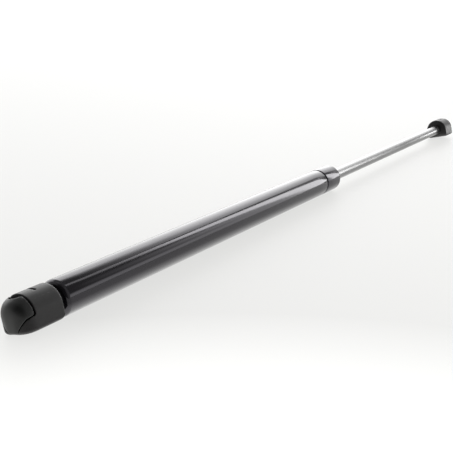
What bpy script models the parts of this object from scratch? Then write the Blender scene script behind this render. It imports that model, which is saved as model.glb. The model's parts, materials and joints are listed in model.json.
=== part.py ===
"""Gas strut stay: an 8 mm rod in an 18 mm pressure tube, with a clip-locked ball socket on each end.

Lengths are in millimetres here and become metres through MM. The strut is modelled along its own
axis U, with U = 0 on the tube's closed end, and the whole of it hangs from one empty that lays it
on the ground: the tube and one lower edge of both sockets touch the floor.
"""

import math

import bmesh
import bpy
from mathutils import Matrix, Vector

MM = 0.001

# ---- driving dimensions, mm -------------------------------------------------------------
TUBE_LEN = 275.0
TUBE_R = 9.0
TUBE_BORE_R = 7.8
TUBE_END_ROUND = 2.4
TUBE_MOUTH_ROUND = 1.8
TUBE_LIP = 1.2
BEAD_U = 254.4
BEAD_DEPTH = 0.85
BEAD_HALF = 1.2

ROD_R = 4.0
ROD_OUT = 231.0
STUD_R = 2.9
STUD_LEN = 6.2
SPIGOT_R = 2.5

SOCKET_GAP = 2.3
SOCKET_LEN = 23.4
SOCKET_HALF_W = 9.2
SOCKET_TOP = 9.0
SOCKET_FLAT = -7.4
SOCKET_EDGE_R = 1.8
NOSE_START = 14.5
NOSE_POWER = 2.8
BALL_V = 13.4
BALL_CAVITY_R = 5.2
MOUTH_R = 5.3

CLIP_BACK = 17.0
CLIP_T = 1.0
CLIP_GAP = 0.35
CLIP_BACK_GAP = 0.9
SHIELD_SHOULDER_Y = 8.3
SHIELD_SHOULDER_Z = -0.15
SHIELD_TIP_HALF = 2.0
CLIP_BOTTOM = -7.1
CLIP_EDGE_R = 1.2
CORNER = 1.3
PRY_V = 3.0
PRY_Y = 3.3

RING_GAP = 0.3
SEG = 48
SEG_IN = 28

# ---- scene ------------------------------------------------------------------------------
for old in list(bpy.data.objects):
    bpy.data.objects.remove(old, do_unlink=True)

scene = bpy.context.scene
parts = bpy.data.collections.new("gas_strut_stay")
cutters = bpy.data.collections.new("cutters")
scene.collection.children.link(parts)
scene.collection.children.link(cutters)


def material(name, rgb, rough, metal):
    mat = bpy.data.materials.new(name)
    mat.use_nodes = True
    bsdf = mat.node_tree.nodes["Principled BSDF"]
    bsdf.inputs["Base Color"].default_value = (*rgb, 1.0)
    bsdf.inputs["Roughness"].default_value = rough
    bsdf.inputs["Metallic"].default_value = metal
    mat.diffuse_color = (*rgb, 1.0)
    return mat


def empty(name, parent=None, location=(0, 0, 0), rotation=(0, 0, 0)):
    obj = bpy.data.objects.new(name, None)
    parts.objects.link(obj)
    obj.parent = parent
    obj.location = location
    obj.rotation_euler = rotation
    return obj


# The lower edge of a socket has radius SOCKET_EDGE_R, so the strut leans until that edge and the
# tube stand on the same floor.
edge_y = SOCKET_HALF_W - SOCKET_EDGE_R
edge_z = -SOCKET_FLAT - SOCKET_EDGE_R
LEAN = math.atan2(edge_y, edge_z) - math.acos((TUBE_R - SOCKET_EDGE_R) / math.hypot(edge_y, edge_z))


def reach_y(side):
    """How far the leaning socket section reaches to one side of the axis."""
    corners = [(edge_y, -edge_z), (-edge_y, -edge_z)]
    turned_y = [y * math.cos(LEAN) + z * math.sin(LEAN) for y, z in corners]
    arch = math.hypot(SOCKET_HALF_W * math.cos(LEAN), SOCKET_TOP * math.sin(LEAN))
    return max(arch, max(side * y for y in turned_y) + SOCKET_EDGE_R)


U_LOW = -SOCKET_GAP - SOCKET_LEN
U_HIGH = TUBE_LEN + ROD_OUT + SOCKET_LEN
strut = empty(
    "strut_frame",
    None,
    (-(U_LOW + U_HIGH) / 2 * MM, (reach_y(-1) - reach_y(1)) / 2 * MM, TUBE_R * MM),
    (-LEAN, 0, 0),
)
carriage = empty("rod_frame", strut, ((TUBE_LEN + ROD_OUT) * MM, 0, 0))

AXIS_ALONG_U = (0, math.pi / 2, 0)


def turned(name, mat, profile, segments=SEG_IN, parent=strut, offset=0.0, solid=False, phase=0.0):
    """A turned piece: a closed profile of (radius, U) points, or one that ends on the axis."""
    area = sum(
        r0 * u1 - r1 * u0 for (r0, u0), (r1, u1) in zip(profile, profile[1:] + profile[:1])
    )
    if area > 0:
        profile = profile[::-1]
    mesh = bpy.data.meshes.new(name)
    bm = bmesh.new()
    verts = [bm.verts.new((r * MM, 0, (u - offset) * MM)) for r, u in profile]
    for a, b in zip(verts, verts[1:]):
        bm.edges.new((a, b))
    if not solid:
        bm.edges.new((verts[-1], verts[0]))
    bm.to_mesh(mesh)
    bm.free()
    obj = bpy.data.objects.new(name, mesh)
    parts.objects.link(obj)
    obj.parent = parent
    obj.rotation_mode = "ZYX"
    obj.rotation_euler = (phase, AXIS_ALONG_U[1], 0)
    mesh.materials.append(mat)
    screw = obj.modifiers.new("Turn", "SCREW")
    screw.axis = "Z"
    screw.angle = 2 * math.pi
    screw.steps = screw.render_steps = segments
    screw.use_merge_vertices = True
    screw.merge_threshold = 0.00001
    screw.use_smooth_shade = False
    return obj


def arc(cx, cy, radius, start, end, steps):
    """Points on an arc, in (radius, U) terms, with angles in degrees."""
    out = []
    for i in range(steps + 1):
        a = math.radians(start + (end - start) * i / steps)
        out.append((cx + radius * math.cos(a), cy + radius * math.sin(a)))
    return out


def cutter(name, parent):
    mesh = bpy.data.meshes.new(name)
    obj = bpy.data.objects.new(name, mesh)
    cutters.objects.link(obj)
    obj.parent = parent
    obj.hide_render = True
    obj.display_type = "WIRE"
    return obj


def box_cutter(name, parent, low, high):
    obj = cutter(name, parent)
    bm = bmesh.new()
    size = [(b - a) * MM for a, b in zip(low, high)]
    mid = [(a + b) / 2 * MM for a, b in zip(low, high)]
    bmesh.ops.create_cube(bm, size=1.0, matrix=Matrix.Translation(mid) @ Matrix.Diagonal((*size, 1.0)))
    bm.to_mesh(obj.data)
    bm.free()
    return obj


def cone_cutter(name, parent, start, end, r_start, r_end, segments=SEG_IN):
    """A cylinder or cone from one point to another."""
    obj = cutter(name, parent)
    a, b = Vector(start) * MM, Vector(end) * MM
    along = (b - a).normalized()
    turn = Vector((0, 0, 1)).rotation_difference(along).to_matrix().to_4x4()
    bm = bmesh.new()
    bmesh.ops.create_cone(
        bm,
        cap_ends=True,
        segments=segments,
        radius1=r_start * MM,
        radius2=r_end * MM,
        depth=(b - a).length,
        matrix=Matrix.Translation((a + b) / 2) @ turn,
    )
    bm.to_mesh(obj.data)
    bm.free()
    return obj


def cut(obj, tool, operation="DIFFERENCE"):
    mod = obj.modifiers.new(tool.name, "BOOLEAN")
    mod.operation = operation
    mod.object = tool
    mod.solver = "EXACT"


# ---- materials --------------------------------------------------------------------------
BLACK_GLOSS = material("tube_black_gloss", (0.012, 0.011, 0.013), 0.14, 0.0)
BRIGHT_STEEL = material("rod_bright_steel", (0.62, 0.62, 0.63), 0.18, 1.0)
PLUG_STEEL = material("plug_steel", (0.42, 0.42, 0.43), 0.38, 1.0)
RUBBER = material("seal_rubber", (0.02, 0.02, 0.02), 0.7, 0.0)
GUIDE_PLASTIC = material("guide_plastic", (0.72, 0.70, 0.62), 0.45, 0.0)
WIPER_PLASTIC = material("wiper_plastic", (0.05, 0.05, 0.055), 0.6, 0.0)
PISTON_ZINC = material("piston_zinc", (0.55, 0.56, 0.58), 0.35, 1.0)
RING_PLASTIC = material("ring_plastic", (0.30, 0.20, 0.12), 0.5, 0.0)
WASHER_STEEL = material("washer_steel", (0.48, 0.48, 0.47), 0.3, 1.0)
INSERT_BRASS = material("insert_brass", (0.70, 0.52, 0.22), 0.3, 1.0)
SOCKET_NYLON = material("socket_nylon", (0.030, 0.029, 0.029), 0.42, 0.0)
CLIP_STEEL = material("clip_blackened_steel", (0.032, 0.033, 0.032), 0.34, 0.3)

# ---- tube group -------------------------------------------------------------------------
lip_out = TUBE_R - TUBE_END_ROUND
tube_outer = [(5.2, 0.0)]
tube_outer += arc(lip_out, TUBE_END_ROUND, TUBE_END_ROUND, -90, 0, 4)
tube_outer += [
    (TUBE_R, BEAD_U - BEAD_HALF),
    (TUBE_R - 0.35 * BEAD_DEPTH, BEAD_U - 0.62 * BEAD_HALF),
    (TUBE_R - BEAD_DEPTH, BEAD_U - 0.15 * BEAD_HALF),
    (TUBE_R - BEAD_DEPTH, BEAD_U + 0.15 * BEAD_HALF),
    (TUBE_R - 0.35 * BEAD_DEPTH, BEAD_U + 0.62 * BEAD_HALF),
    (TUBE_R, BEAD_U + BEAD_HALF),
]
tube_outer += arc(TUBE_R - TUBE_MOUTH_ROUND, TUBE_LEN - TUBE_MOUTH_ROUND, TUBE_MOUTH_ROUND, 0, 90, 3)
tube_outer += [(5.7, TUBE_LEN)]
tube_inner = [
    (5.7, TUBE_LEN - TUBE_LIP),
    (7.1, TUBE_LEN - TUBE_LIP),
    (TUBE_BORE_R, TUBE_LEN - TUBE_LIP - 0.5),
    (TUBE_BORE_R, BEAD_U + BEAD_HALF),
    (TUBE_BORE_R - 0.75, BEAD_U + 0.2 * BEAD_HALF),
    (TUBE_BORE_R - 0.75, BEAD_U - 0.2 * BEAD_HALF),
    (TUBE_BORE_R, BEAD_U - BEAD_HALF),
    (TUBE_BORE_R, TUBE_LIP + 0.6),
    (7.1, TUBE_LIP),
    (5.2, TUBE_LIP),
]
# one facet of the tube lies flat on the floor
turned("pressure_tube", BLACK_GLOSS, tube_outer + tube_inner, SEG, phase=LEAN + math.pi / SEG)

PLUG_IN = TUBE_LIP + RING_GAP
stud_tip = -SOCKET_GAP - STUD_LEN
thread = []
u = -SOCKET_GAP - 0.6
while u - 1.3 > stud_tip + 0.6:
    thread += [(STUD_R, u), (STUD_R - 0.5, u - 0.65), (STUD_R, u - 1.3)]
    u -= 1.3
plug = [(0.0, 12.0), (6.9, 12.0), (7.5, 11.4), (7.5, 7.9), (5.9, 7.9), (5.9, 5.9), (7.5, 5.9)]
plug += [(7.5, PLUG_IN + 0.6), (6.8, PLUG_IN), (4.8, PLUG_IN), (4.8, -SOCKET_GAP + 0.7)]
plug += [(4.4, -SOCKET_GAP + RING_GAP), (STUD_R - 0.4, -SOCKET_GAP + RING_GAP), (STUD_R - 0.4, -SOCKET_GAP - 0.2)]
plug += thread
plug += [(STUD_R, stud_tip + 0.6), (STUD_R - 0.6, stud_tip), (0.0, stud_tip)]
turned("end_plug", PLUG_STEEL, plug, SEG_IN, solid=True)


def o_ring(name, at_u, major=6.85, minor=0.72):
    mesh = bpy.data.meshes.new(name)
    bm = bmesh.new()
    loop = [
        bm.verts.new(((major + minor * math.cos(a)) * MM, 0, (at_u + minor * math.sin(a)) * MM))
        for a in (-2 * math.pi * i / 12 for i in range(12))
    ]
    for a, b in zip(loop, loop[1:] + loop[:1]):
        bm.edges.new((a, b))
    bm.to_mesh(mesh)
    bm.free()
    obj = bpy.data.objects.new(name, mesh)
    parts.objects.link(obj)
    obj.parent = strut
    obj.rotation_euler = AXIS_ALONG_U
    mesh.materials.append(RUBBER)
    screw = obj.modifiers.new("Turn", "SCREW")
    screw.axis = "Z"
    screw.angle = 2 * math.pi
    screw.steps = screw.render_steps = SEG_IN
    screw.use_merge_vertices = True
    screw.merge_threshold = 0.00001
    return obj


o_ring("end_plug_o_ring", 6.9)

bead_face = BEAD_U + BEAD_HALF
turned(
    "seal_support_ring",
    WASHER_STEEL,
    [(4.3, bead_face + 0.3), (7.1, bead_face + 0.3), (7.5, bead_face + 0.7), (7.5, bead_face + 2.3), (4.3, bead_face + 2.3)],
)
seal_u = bead_face + 2.6
turned(
    "rod_seal",
    RUBBER,
    [
        (4.18, seal_u), (4.7, seal_u), (5.5, seal_u + 1.9), (6.3, seal_u + 1.9), (7.0, seal_u),
        (7.5, seal_u), (7.5, seal_u + 5.0), (4.6, seal_u + 5.0), (4.18, seal_u + 4.2), (4.5, seal_u + 2.6), (4.18, seal_u + 1.2),
    ],
)
guide_u = seal_u + 5.3
guide_end = TUBE_LEN - TUBE_LIP - RING_GAP
ring_u = guide_u + 2.6
turned(
    "rod_guide",
    GUIDE_PLASTIC,
    [
        (4.18, guide_u), (7.5, guide_u), (7.5, ring_u - 1.0), (5.9, ring_u - 1.0), (5.9, ring_u + 1.0), (7.5, ring_u + 1.0),
        (7.5, guide_end - 0.8), (6.8, guide_end), (5.9, guide_end), (5.9, guide_end - 4.0), (4.18, guide_end - 4.0),
    ],
)
o_ring("guide_o_ring", ring_u)
turned(
    "wiper_ring",
    WIPER_PLASTIC,
    [
        (4.2, guide_end - 2.6), (5.0, guide_end - 3.7), (5.6, guide_end - 3.7), (5.6, guide_end - 0.1),
        (5.0, guide_end + 0.5), (4.2, guide_end + 1.2),
    ],
)

# ---- rod group --------------------------------------------------------------------------
PISTON_FRONT = BEAD_U - BEAD_HALF - 0.6
PISTON_BACK = PISTON_FRONT - 9.0
shoulder = PISTON_FRONT + 1.8
tail = PISTON_BACK - 4.9
rod_tip = TUBE_LEN + ROD_OUT
rod_off = rod_tip
stud_top = rod_tip + STUD_LEN
thread = []
u = rod_tip + 0.6
while u + 1.3 < stud_top - 0.6:
    thread += [(STUD_R, u), (STUD_R - 0.5, u + 0.65), (STUD_R, u + 1.3)]
    u += 1.3
rod = [(0.0, tail), (2.6, tail), (4.0, tail + 0.8), (4.0, tail + 2.2), (SPIGOT_R, tail + 2.2), (SPIGOT_R, shoulder)]
rod += [(ROD_R - 0.3, shoulder), (ROD_R, shoulder + 0.3), (ROD_R, rod_tip - 0.9), (ROD_R - 0.6, rod_tip - RING_GAP), (STUD_R - 0.4, rod_tip - RING_GAP), (STUD_R - 0.4, rod_tip + 0.2)]
rod += thread
rod += [(STUD_R, stud_top - 0.6), (STUD_R - 0.6, stud_top), (0.0, stud_top)]
turned("piston_rod", BRIGHT_STEEL, rod, SEG, carriage, rod_off, solid=True)

GROOVE_MID = (PISTON_FRONT + PISTON_BACK) / 2
piston = turned(
    "piston",
    PISTON_ZINC,
    [
        (2.8, PISTON_BACK), (6.9, PISTON_BACK), (7.4, PISTON_BACK + 0.5), (7.4, GROOVE_MID - 1.5), (5.9, GROOVE_MID - 1.5),
        (5.9, GROOVE_MID + 1.5), (7.4, GROOVE_MID + 1.5), (7.4, PISTON_FRONT - 0.5), (6.9, PISTON_FRONT), (2.8, PISTON_FRONT),
    ],
    SEG_IN, carriage, rod_off,
)
for i, angle in enumerate((0.0, math.pi)):
    y, z = 4.6 * math.cos(angle), 4.6 * math.sin(angle)
    drill = cone_cutter(
        f"orifice_{i}", carriage, (PISTON_BACK - rod_off - 2, y, z), (PISTON_FRONT - rod_off + 2, y, z), 0.55, 0.55, 10
    )
    cut(piston, drill)

turned(
    "piston_ring",
    RING_PLASTIC,
    [(6.2, GROOVE_MID - 1.2), (7.64, GROOVE_MID - 1.2), (7.64, GROOVE_MID + 1.2), (6.2, GROOVE_MID + 1.2)],
    SEG_IN, carriage, rod_off,
)
turned(
    "piston_front_washer",
    WASHER_STEEL,
    [(2.8, PISTON_FRONT + 0.3), (5.6, PISTON_FRONT + 0.3), (6.0, PISTON_FRONT + 0.7), (6.0, PISTON_FRONT + 1.5), (2.8, PISTON_FRONT + 1.5)],
    SEG_IN, carriage, rod_off,
)
turned(
    "valve_disc",
    WASHER_STEEL,
    [(2.8, PISTON_BACK - 0.9), (6.2, PISTON_BACK - 0.9), (6.2, PISTON_BACK - 0.3), (2.8, PISTON_BACK - 0.3)],
    SEG_IN, carriage, rod_off,
)
turned(
    "piston_back_washer",
    WASHER_STEEL,
    [(2.8, PISTON_BACK - 2.4), (5.0, PISTON_BACK - 2.4), (5.3, PISTON_BACK - 2.1), (5.3, PISTON_BACK - 1.2), (2.8, PISTON_BACK - 1.2)],
    SEG_IN, carriage, rod_off,
)


# ---- ball sockets -----------------------------------------------------------------------
def section(v, half_w, top, flat, edge):
    """One cross-section of a socket: round top, upright sides, flat underside with rounded edges."""
    edge = min(edge, 0.6 * half_w)
    points = []
    for i in range(25):
        a = math.pi * i / 24
        points.append((v, half_w * math.cos(a), top * math.sin(a)))
    for i in range(5):
        a = math.pi + math.pi / 2 * i / 4
        points.append((v, -half_w + edge + edge * math.cos(a), flat + edge + edge * math.sin(a)))
    for i in range(5):
        a = 1.5 * math.pi + math.pi / 2 * i / 4
        points.append((v, half_w - edge + edge * math.cos(a), flat + edge + edge * math.sin(a)))
    return points


def nose(v, tip):
    """How wide the nose still is at v, from 1 at its start to 0 on its tip."""
    t = max(0.0, min(1.0, (v - NOSE_START) / (tip - NOSE_START)))
    return max(0.0, 1.0 - t**NOSE_POWER) ** (1.0 / NOSE_POWER)


def loft(mesh, sections):
    bm = bmesh.new()
    loops = []
    for points in sections:
        verts = [bm.verts.new(Vector(p) * MM) for p in points]
        loops.append([bm.edges.new((a, b)) for a, b in zip(verts, verts[1:] + verts[:1])])
    for first, second in zip(loops, loops[1:]):
        bmesh.ops.bridge_loops(bm, edges=first + second)
    for edges in (loops[0], loops[-1]):
        bmesh.ops.contextual_create(bm, geom=edges)
    bmesh.ops.recalc_face_normals(bm, faces=bm.faces)
    bm.to_mesh(mesh)
    bm.free()


def stations(start, tip):
    """Where the nose's sections lie: closer together toward the tip."""
    span = tip - start
    return [start + span * f for f in (0.0, 0.25, 0.45, 0.62, 0.75, 0.85, 0.92, 0.965, 0.99)]


def head(mesh, back, tip, inset, flat, edge, lead=()):
    """The socket's outer form from one V to the tip, grown or shrunk by inset."""
    half_w, top = SOCKET_HALF_W - inset, SOCKET_TOP - inset
    rows = [section(v, half_w - off, top - off, flat + off, edge) for v, off in lead]
    for v in stations(back, tip):
        g = nose(v, tip)
        rows.append(section(v, half_w * g, top * g, flat, edge))
    loft(mesh, rows)


def prism_cutter(name, parent, points, along):
    """A flat outline carried along a straight line."""
    obj = cutter(name, parent)
    bm = bmesh.new()
    face = bm.faces.new([bm.verts.new(Vector(p) * MM) for p in points])
    pulled = bmesh.ops.extrude_face_region(bm, geom=[face])["geom"]
    bmesh.ops.translate(bm, verts=[g for g in pulled if isinstance(g, bmesh.types.BMVert)], vec=Vector(along) * MM)
    bmesh.ops.recalc_face_normals(bm, faces=bm.faces)
    bm.to_mesh(obj.data)
    bm.free()
    return obj


def outline_cutter(name, parent, outline, v_low, v_high):
    """An outline in the Y-Z plane, carried along V."""
    return prism_cutter(name, parent, [(v_low, y, z) for y, z in outline], (v_high - v_low, 0, 0))


def side_cutter(name, parent, outline, y_low, y_high):
    """An outline in the V-Z plane, carried along Y."""
    return prism_cutter(name, parent, [(v, y_low, z) for v, z in outline], (0, y_high - y_low, 0))


def plan_cutter(name, parent, outline, z_low, z_high):
    """An outline in the V-Y plane, carried along Z."""
    return prism_cutter(name, parent, [(v, y, z_low) for v, y in outline], (0, 0, z_high - z_low))


def pry_outline(back, grow):
    """Half an oval that opens to the back, as a screwdriver's slot in the clip's top edge."""
    out = [(back, -PRY_Y - grow)]
    for i in range(13):
        a = math.pi * (i / 12 - 0.5)
        out.append((CLIP_BACK + (PRY_V + grow) * math.cos(a), (PRY_Y + grow) * math.sin(a)))
    return out + [(back, PRY_Y + grow)]


def shield_cutters(prefix, parent, grow):
    """What lies under the shield's two slanting lower edges, and behind its two cut-off corners."""
    out = []
    v, z = CLIP_BACK - grow, SHIELD_SHOULDER_Z - 0.5 * grow
    reach = CORNER + 0.2 * grow
    low = CLIP_BOTTOM - 4
    for side in (1, -1):
        tip_y = SHIELD_TIP_HALF + grow
        outline = [
            (side * tip_y, low),
            (side * tip_y, CLIP_BOTTOM),
            (side * (SHIELD_SHOULDER_Y + grow), SHIELD_SHOULDER_Z - 0.5 * grow),
            (side * 14.0, SHIELD_SHOULDER_Z - 0.5 * grow),
            (side * 14.0, low),
        ]
        out.append(outline_cutter(f"{prefix}_under_shield_{'ab'[side < 0]}", parent, outline, 12.0, 26.0))
        corner = [(v - 3.0, z - 3.0), (v + reach + 3.0, z - 3.0), (v - 3.0, z + reach + 3.0)]
        out.append(side_cutter(f"{prefix}_corner_{'ab'[side < 0]}", parent, corner, side * 5.0, side * 14.0))
    return out


ARM_Z = (-0.9, 1.7)
ARM_Y = (6.7, 8.0)
LIP_Z = (-5.5, -4.4)


def ball_socket(prefix, parent):
    frame = empty(f"{prefix}_frame", *parent)

    # housing
    mesh = bpy.data.meshes.new(prefix)
    head(
        mesh, NOSE_START, SOCKET_LEN, 0.0, SOCKET_FLAT, SOCKET_EDGE_R,
        lead=((0.0, 1.4), (0.2, 0.75), (0.65, 0.25), (1.4, 0.0), (7.0, 0.0)),
    )
    mesh.materials.append(SOCKET_NYLON)
    body = bpy.data.objects.new(prefix, mesh)
    parts.objects.link(body)
    body.parent = frame

    pocket = cutter(f"{prefix}_clip_pocket", frame)
    head(pocket.data, CLIP_BACK - CLIP_BACK_GAP, SOCKET_LEN + 1.2, -1.0, -12.0, 1.0)
    core = cutter(f"{prefix}_pocket_core", frame)
    head(core.data, NOSE_START - 2, SOCKET_LEN - CLIP_T - CLIP_GAP, CLIP_T + CLIP_GAP, -14.0, 1.0)
    cut(pocket, core)
    for tool in shield_cutters(f"{prefix}_pocket", frame, CLIP_GAP):
        cut(pocket, tool)
    cut(body, pocket)

    ball = cutter(f"{prefix}_ball", frame)
    bm = bmesh.new()
    bmesh.ops.create_uvsphere(
        bm, u_segments=28, v_segments=16, radius=BALL_CAVITY_R * MM, matrix=Matrix.Translation((BALL_V * MM, 0, 0))
    )
    bm.to_mesh(ball.data)
    bm.free()
    cut(body, ball)
    cut(body, cone_cutter(f"{prefix}_mouth", frame, (BALL_V, 0, -12.0), (BALL_V, 0, -0.8), MOUTH_R - 0.16, MOUTH_R - 0.16, 28))
    cut(body, cone_cutter(f"{prefix}_flare", frame, (BALL_V, 0, -8.3), (BALL_V, 0, -5.9), MOUTH_R + 1.7, MOUTH_R - 0.7, 28))
    cut(body, cone_cutter(f"{prefix}_bore", frame, (-2.0, 0, 0), (6.7, 0, 0), 3.2, 3.2, 24))
    cut(body, cone_cutter(f"{prefix}_insert_seat", frame, (0.8, 0, 0), (6.4, 0, 0), 5.1, 5.1, 24))
    cut(body, box_cutter(f"{prefix}_lip_slot", frame, (16.0, -2.9, LIP_Z[0] - 0.4), (25.0, 2.9, LIP_Z[1] + 0.4)))
    for side in (1, -1):
        low_y, high_y = sorted((side * (ARM_Y[0] - 0.35), side * (ARM_Y[1] + 0.35)))
        cut(body, box_cutter(
            f"{prefix}_arm_slot_{'ab'[side < 0]}", frame, (13.2, low_y, ARM_Z[0] - 0.35), (20.4, high_y, ARM_Z[1] + 0.35)
        ))
    cut(body, box_cutter(f"{prefix}_top_slit", frame, (8.3, -3.4, 7.2), (9.5, 3.4, 12.0)))
    cut(body, plan_cutter(f"{prefix}_pry_scoop", frame, pry_outline(CLIP_BACK - CLIP_BACK_GAP, 0.15), 5.3, 12.0))

    # retaining clip
    mesh = bpy.data.meshes.new(f"{prefix}_clip")
    head(mesh, CLIP_BACK, SOCKET_LEN, 0.0, CLIP_BOTTOM, CLIP_EDGE_R)
    mesh.materials.append(CLIP_STEEL)
    clip = bpy.data.objects.new(f"{prefix}_clip", mesh)
    parts.objects.link(clip)
    clip.parent = frame
    hollow = cutter(f"{prefix}_clip_hollow", frame)
    head(hollow.data, NOSE_START - 2, SOCKET_LEN - CLIP_T, CLIP_T, -14.0, 1.0)
    cut(clip, hollow)
    for tool in shield_cutters(f"{prefix}_clip", frame, 0.0):
        cut(clip, tool)
    cut(clip, plan_cutter(f"{prefix}_pry_notch", frame, pry_outline(CLIP_BACK - 3.0, 0.0), 4.0, 12.0))
    cut(clip, box_cutter(f"{prefix}_lip", frame, (16.5, -2.4, LIP_Z[0]), (SOCKET_LEN - 0.5, 2.4, LIP_Z[1])), "UNION")
    for side in (1, -1):
        low_y, high_y = sorted((side * ARM_Y[0], side * ARM_Y[1]))
        cut(clip, box_cutter(
            f"{prefix}_arm_{'ab'[side < 0]}", frame, (13.6, low_y, ARM_Z[0]), (19.4, high_y, ARM_Z[1])
        ), "UNION")

    # threaded insert
    ribs = []
    u = 1.1
    while u < 5.2:
        ribs += [(4.8, u), (4.45, u + 0.7), (4.8, u + 1.4)]
        u += 1.6
    insert = turned(f"{prefix}_insert", INSERT_BRASS, [(3.15, 1.1)] + ribs + [(3.15, ribs[-1][1])], 24, frame)
    return frame, body, clip, insert


ball_socket("tube_socket", (strut, (-SOCKET_GAP * MM, 0, 0), (0, 0, math.pi)))
ball_socket("rod_socket", (carriage, (0, 0, 0), (0, 0, 0)))

# ---- shading ----------------------------------------------------------------------------
for obj in parts.objects:
    if obj.type == "MESH":
        obj.data.shade_smooth()
        obj.data.set_sharp_from_angle(angle=math.radians(35))
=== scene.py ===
import json
import math

import bmesh
import bpy
import numpy as np
from mathutils import Matrix, Vector


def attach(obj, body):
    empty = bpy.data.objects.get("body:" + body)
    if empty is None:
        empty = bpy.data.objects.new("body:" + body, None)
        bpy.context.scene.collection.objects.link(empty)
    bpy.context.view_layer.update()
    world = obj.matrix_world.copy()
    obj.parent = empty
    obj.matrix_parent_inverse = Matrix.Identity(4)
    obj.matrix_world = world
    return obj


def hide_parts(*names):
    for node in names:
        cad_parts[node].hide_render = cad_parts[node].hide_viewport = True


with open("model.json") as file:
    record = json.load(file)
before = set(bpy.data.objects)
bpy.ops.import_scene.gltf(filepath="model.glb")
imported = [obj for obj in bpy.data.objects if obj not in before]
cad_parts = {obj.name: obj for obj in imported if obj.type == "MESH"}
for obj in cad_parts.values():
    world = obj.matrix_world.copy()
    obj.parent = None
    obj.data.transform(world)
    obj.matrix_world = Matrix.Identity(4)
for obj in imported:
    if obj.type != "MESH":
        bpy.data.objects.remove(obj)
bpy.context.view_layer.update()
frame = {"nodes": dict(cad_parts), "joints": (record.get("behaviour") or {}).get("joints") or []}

MM = 0.001
scene = bpy.context.scene

# ---- the strut's dimensions, in millimetres, along its own axis U -------------------------
TUBE_LEN, TUBE_R, TUBE_BORE_R = 275.0, 9.0, 7.8
TUBE_END_ROUND, TUBE_MOUTH_ROUND, TUBE_LIP = 2.4, 1.8, 1.2
BEAD_U, BEAD_DEPTH, BEAD_HALF = 254.4, 0.85, 1.2
ROD_R, ROD_OUT = 4.0, 231.0
STUD_R, STUD_LEN, SPIGOT_R = 2.9, 6.2, 2.5
SOCKET_GAP, SOCKET_LEN = 2.3, 23.4
SOCKET_HALF_W, SOCKET_TOP, SOCKET_FLAT, SOCKET_EDGE_R = 9.2, 9.0, -7.4, 1.8
NOSE_START, NOSE_POWER = 14.5, 2.8
BALL_V, BALL_CAVITY_R, MOUTH_R = 13.4, 5.2, 5.14
CLIP_BACK, CLIP_T, CLIP_GAP, CLIP_BACK_GAP = 17.0, 1.0, 0.35, 0.9
SHIELD_SHOULDER_Y, SHIELD_SHOULDER_Z, SHIELD_TIP_HALF = 8.3, -0.15, 2.0
CLIP_BOTTOM, CLIP_EDGE_R, CLIP_CORNER_R = -7.1, 1.2, 1.3
PRY_V, PRY_Y = 3.0, 3.3
RING_GAP = 0.3
FACET, TIP_FACET = 0.03, 0.08  # how far the round forms stay inside the faceted solids

edge_y = SOCKET_HALF_W - SOCKET_EDGE_R
edge_z = -SOCKET_FLAT - SOCKET_EDGE_R
LEAN = math.atan2(edge_y, edge_z) - math.acos((TUBE_R - SOCKET_EDGE_R) / math.hypot(edge_y, edge_z))
U_MID = (TUBE_LEN + ROD_OUT + SOCKET_LEN - SOCKET_GAP - SOCKET_LEN) / 2
axis_point = next(j for j in frame["joints"] if j["name"] == "rod_spin")["pos_m"]
STRUT = Matrix.Translation((-U_MID * MM, axis_point[1], axis_point[2])) @ Matrix.Rotation(-LEAN, 4, "X")
TUBE_SOCKET = STRUT @ Matrix.Translation((-SOCKET_GAP * MM, 0, 0)) @ Matrix.Rotation(math.pi, 4, "Z")
ROD_SOCKET = STRUT @ Matrix.Translation(((TUBE_LEN + ROD_OUT) * MM, 0, 0))


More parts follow.
